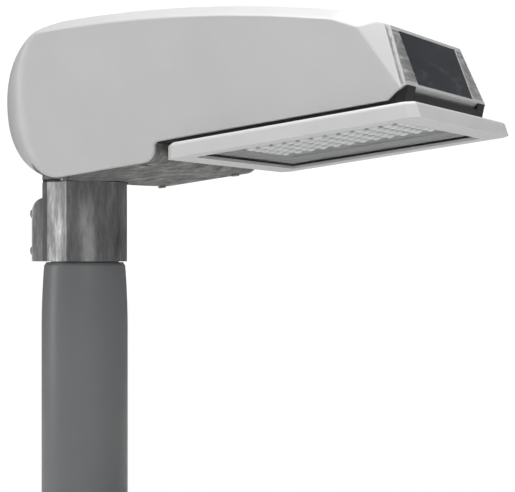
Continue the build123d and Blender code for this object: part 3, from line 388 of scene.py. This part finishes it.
def resample(points, stops, fine_u):
    """Spread the outlines' points so that steps are short where the middle one bends or where asked to.

    Every width takes the same share of its own run, so that rows stay matched across the head.
    """
    middle = points[:, points.shape[1] // 2]
    s = np.concatenate([[0.0], np.cumsum(np.hypot(*np.diff(middle, axis=0).T))])
    place_in = np.interp(np.linspace(0.0, s[-1], 8001)[:-1], s, np.arange(len(s)))
    low = np.floor(place_in).astype(int)
    part = (place_in - low)[:, None, None]
    p = points[low] * (1 - part) + points[np.minimum(low + 1, len(points) - 1)] * part
    away = np.minimum(np.arange(8000), 8000 - np.arange(8000)) * (s[-1] / 8000)
    spread = np.exp(-0.5 * (away / 0.9) ** 2)
    filtered = np.fft.rfft(p, axis=0) * np.fft.rfft(spread / spread.sum())[:, None, None]
    p = np.fft.irfft(filtered, 8000, axis=0)
    m = p[:, points.shape[1] // 2]
    move = np.roll(m, -1, axis=0) - m
    turn = np.abs(np.gradient(np.unwrap(np.arctan2(move[:, 1], move[:, 0]))))
    weight = np.hypot(*move.T) / np.where(m[:, 0] > fine_u, 1.3, 4.0) + np.degrees(turn) / 5.0
    c = np.cumsum(weight)
    pick = np.searchsorted(c, np.linspace(0, c[-1], int(c[-1]), endpoint=False))
    for u0, v_side in stops:
        on_side = np.where(np.sign(m[:, 1] - 20.0) == v_side, np.abs(m[:, 0] - u0), 1e9)
        exact = int(np.argmin(on_side))
        pick[np.argmin(np.abs(pick - exact))] = exact
    return p[np.unique(pick)]


def soft_min(a, b, width):
    """Smaller of two values, blended over a width where they are nearly equal."""
    h = np.clip(0.5 + 0.5 * (b - a) / width, 0.0, 1.0)
    return b * (1 - h) + a * h - width * h * (1 - h)


FACET_A = np.array([310.2, HALF, 48.4])
FACET_B = np.array([341.4, HALF, -5.4])
FACET_C = np.array([332.8, 72.7, 43.3])


def skin_reach(p, y, inset=0.0):
    """How far the skin lies from the core line, along each outline ray p and at each width y.

    The reach is the soft minimum of the ray's length to that width's outline, to the roof's bevel
    cone, to the front slope's bevel and to the flat corner beside the nose.
    """
    out = p - np.array(CORE)
    full = np.hypot(out[..., 0], out[..., 1])
    du, dv = out[..., 0] / full, out[..., 1] / full
    side = np.abs(y)[None, :]
    reach = full - inset
    drop = BEVEL_DROP * np.clip((side - (HALF - BEVEL_INSET)) / BEVEL_INSET, 0.0, 1.0)
    cu, cv = CORE[0] - ROOF_CENTRE[0], CORE[1] - ROOF_CENTRE[1]
    b = cu * du + cv * dv
    root = b ** 2 - (cu ** 2 + cv ** 2) + (ROOF_RADIUS - inset - drop) ** 2
    cone = -b + np.sqrt(np.maximum(root, 0.0))
    reach = soft_min(reach, cone, np.where(drop > 0, 0.5, 0.05))
    run, fall = NOSE_TOP[0] - ROOF_FRONT[0], NOSE_TOP[1] - ROOF_FRONT[1]
    nu, nv = -fall / hypot(run, fall), run / hypot(run, fall)
    slope_gap = nu * (ROOF_FRONT[0] - CORE[0]) + nv * (ROOF_FRONT[1] - CORE[1]) - inset - drop
    facing = nu * du + nv * dv
    slope = np.where(facing > 0.05, slope_gap / np.maximum(facing, 0.05), 1e4)
    reach = np.where(drop > 0, soft_min(reach, slope, 0.5), reach)
    n = np.cross(FACET_B - FACET_A, FACET_C - FACET_A)
    n = n / np.linalg.norm(n) * np.sign(n[1])
    gap = n[0] * (FACET_A[0] - CORE[0]) + n[1] * (FACET_A[1] - side) + n[2] * (FACET_A[2] - CORE[1]) - inset
    facing = n[0] * du + n[2] * dv
    corner = np.where(facing > 0.05, gap / np.maximum(facing, 0.05), 1e4)
    return soft_min(reach, corner, 0.9)


def housing_skin():
    """Shell as a closed skin: rays from a core line, swept round the side outline and across the width.

    A point is core + reach(ray, y) * ray, with the edge at each side rounded by a quarter circle; the
    two flat sides are the same rays shrunk towards the core.  Cells over the floor opening, the roof
    laminate and the nose window are left out, and an inner skin one wall in closes every edge.
    """
    turn = np.radians(np.linspace(0.0, 90.0, 31))
    half_y = np.unique(np.round(np.concatenate([
        np.linspace(0.0, 24.0, 5), HALF - TAIL_DEPTH + TAIL_DEPTH * np.sin(turn),
        [34.0, WINDOW_HALF, ROOF_PANEL_HALF, 77.0, FLOOR_HALF]]), 4))
    half_y = half_y[np.concatenate([[True], np.diff(half_y) > MERGE_GAP])]
    y = np.concatenate([-half_y[:0:-1], half_y])
    p = resample(side_outlines(y), [(ROOF_PANEL_REAR_U, 1), (ROOF_PANEL_FRONT_U, 1)], 286.0)
    rings = np.array([0.985, 0.95, 0.85, 0.65, 0.4, 0.15])
    out = p - np.array(CORE)
    d = out / np.hypot(out[..., 0], out[..., 1])[..., None]
    d = np.concatenate([np.repeat(d[:, :1], len(rings), axis=1), d,
                        np.repeat(d[:, -1:], len(rings), axis=1)], axis=1)

    def sheet(inset):
        reach = skin_reach(p, y, inset)
        over = np.clip((np.abs(y) - (HALF - EDGE_ROUND)) / EDGE_ROUND, 0.0, 1.0)
        reach = reach - (EDGE_ROUND * (1 - np.sqrt(1 - over ** 2)))[None, :]
        width = y * (HALF - inset) / HALF
        ends = reach[:, [0]] * rings[::-1][None, :], reach[:, [-1]] * rings[None, :]
        reach = np.concatenate([ends[0], reach, ends[1]], axis=1)
        width = np.concatenate([np.full(len(rings), width[0]), width, np.full(len(rings), width[-1])])
        u = CORE[0] + reach * d[..., 0]
        v = CORE[1] + reach * d[..., 1]
        return np.stack([u, np.broadcast_to(width[None, :], u.shape), v], axis=-1)

    outer, inner = sheet(0.0), sheet(WALL)
    rows, columns = outer.shape[:2]
    poles = np.array([[CORE[0], -HALF, CORE[1]], [CORE[0], HALF, CORE[1]]])
    flat = [np.concatenate([grid.reshape(-1, 3), poles * np.array([1, w / HALF, 1])])
            for grid, w in ((outer, HALF), (inner, HALF - WALL))]
    count = len(flat[0])
    quads = grid_faces(rows, columns, wrap_rows=True)
    centre = flat[0][quads].mean(axis=1)
    first = len(rings)
    column = np.tile(np.arange(columns - 1), rows)
    across = (column >= first) & (column < columns - 1 - first)
    u, yc, v = centre.T
    side = np.abs(yc)
    floor_gap = across & (side < FLOOR_HALF) & (u > FLOOR_REAR_U) & (u < FLOOR_FRONT_U) & (v < FLOOR_TOP_V)
    roof_gap = (across & (side < ROOF_PANEL_HALF) & (v > ROOF_PANEL_FOOT_V)
                & (u > ROOF_PANEL_REAR_U) & (u < ROOF_PANEL_FRONT_U))
    nose_gap = (across & (side < WINDOW_HALF) & (u > WINDOW_REAR_U)
                & (v > WINDOW_FOOT_V) & (v < WINDOW_TOP_V))
    quads = quads[~(floor_gap | roof_gap | nose_gap)]
    i = np.arange(rows)
    caps = [np.stack([(i + 1) % rows * columns, i * columns, np.full(rows, count - 2)], axis=-1),
            np.stack([i * columns + columns - 1, (i + 1) % rows * columns + columns - 1,
                      np.full(rows, count - 1)], axis=-1)]
    rims = rim_faces(quads, count)
    rims = rims[np.abs(flat[0][rims[:, 0], 1]) < HALF - 0.01]
    faces = [*quads, *caps[0], *caps[1], *(quads[:, ::-1] + count), *(caps[0][:, ::-1] + count),
             *(caps[1][:, ::-1] + count), *rims]
    points = np.concatenate(flat)
    return place(points[:, 0], points[:, 1], points[:, 2]), faces


points, faces = housing_skin()
housing = make_piece("housing_skin", points, faces, shell_paint, "head")
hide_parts("housing_shell")

# ------------------------------------------------------------------ stage, light and camera
stage_mesh = bpy.data.meshes.new("floor")
stage_mesh.from_pydata([(-6, -6, 0), (6, -6, 0), (6, 6, 0), (-6, 6, 0)], [], [(0, 1, 2, 3)])
stage_floor = bpy.data.objects.new("floor", stage_mesh)
bpy.context.collection.objects.link(stage_floor)
floor_paint, floor_tree, floor_shader = new_material("pale_floor", (0.86, 0.86, 0.86), 0.9)
floor_tone = ramp(floor_tree, noise(floor_tree, 3.0, 2.0), [(0.3, grey(0.85)), (0.7, grey(0.87))])
floor_tree.links.new(floor_tone, floor_shader.inputs["Base Color"])
floor_glow = floor_tree.nodes.new("ShaderNodeEmission")
floor_glow.inputs["Color"].default_value = (1, 1, 1, 1)
floor_glow.inputs["Strength"].default_value = 1.0
floor_mix = floor_tree.nodes.new("ShaderNodeMixShader")
floor_path = floor_tree.nodes.new("ShaderNodeLightPath")
floor_tree.links.new(floor_path.outputs["Is Camera Ray"], floor_mix.inputs["Fac"])
floor_tree.links.new(floor_shader.outputs["BSDF"], floor_mix.inputs[1])
floor_tree.links.new(floor_glow.outputs["Emission"], floor_mix.inputs[2])
floor_tree.links.new(floor_mix.outputs["Shader"], floor_tree.nodes["Material Output"].inputs["Surface"])
stage_mesh.materials.append(floor_paint)


def softbox(name, location, target, size, power):
    """Rectangular soft light aimed at a point."""
    lamp = bpy.data.lights.new(name, "AREA")
    lamp.shape = "RECTANGLE"
    lamp.size, lamp.size_y = size
    lamp.energy = power
    holder = bpy.data.objects.new(name, lamp)
    holder.location = location
    aim = np.array(target) - np.array(location)
    holder.rotation_euler = Vector(aim).to_track_quat("-Z", "Y").to_euler()
    bpy.context.collection.objects.link(holder)


softbox("overhead", (0.25, -0.15, 1.5), (0.15, 0.0, 0.4), (1.3, 1.2), 18.0)
softbox("key", (1.1, -1.4, 1.2), (0.2, 0.0, 0.35), (0.8, 0.8), 9.5)
softbox("left", (-1.5, -0.9, 0.5), (0.0, 0.0, 0.2), (0.6, 1.2), 6.0)

world = bpy.data.worlds.new("studio")
bpy.context.scene.world = world
world.use_nodes = True
air = world.node_tree
background = air.nodes["Background"]
coords = air.nodes.new("ShaderNodeTexCoord")
split = air.nodes.new("ShaderNodeSeparateXYZ")
air.links.new(coords.outputs["Generated"], split.inputs["Vector"])
height = air.nodes.new("ShaderNodeMapRange")
height.inputs["From Min"].default_value = -1.0
height.inputs["From Max"].default_value = 1.0
air.links.new(split.outputs["Z"], height.inputs["Value"])
sky = ramp(air, height.outputs["Result"], [(0.0, grey(0.10)), (0.5, grey(0.20)), (1.0, grey(0.32))])
air.links.new(sky, background.inputs["Color"])
seen = air.nodes.new("ShaderNodeBackground")
seen.inputs["Color"].default_value = (1, 1, 1, 1)
seen.inputs["Strength"].default_value = 1.05
mixer = air.nodes.new("ShaderNodeMixShader")
path = air.nodes.new("ShaderNodeLightPath")
air.links.new(path.outputs["Is Camera Ray"], mixer.inputs["Fac"])
air.links.new(background.outputs["Background"], mixer.inputs[1])
air.links.new(seen.outputs["Background"], mixer.inputs[2])
air.links.new(mixer.outputs["Shader"], air.nodes["World Output"].inputs["Surface"])

lens = bpy.data.cameras.new("camera")
lens.sensor_width = 36.0
lens.lens = 104.85
lens.shift_y = 0.0251
lens.clip_end = 50.0
camera = bpy.data.objects.new("camera", lens)
camera.location = (0.7694, -1.0997, 0.2268)
camera.rotation_euler = (radians(90.0), 0.0, radians(28.41))
bpy.context.collection.objects.link(camera)
bpy.context.scene.camera = camera
bpy.context.scene.view_settings.view_transform = "Standard"
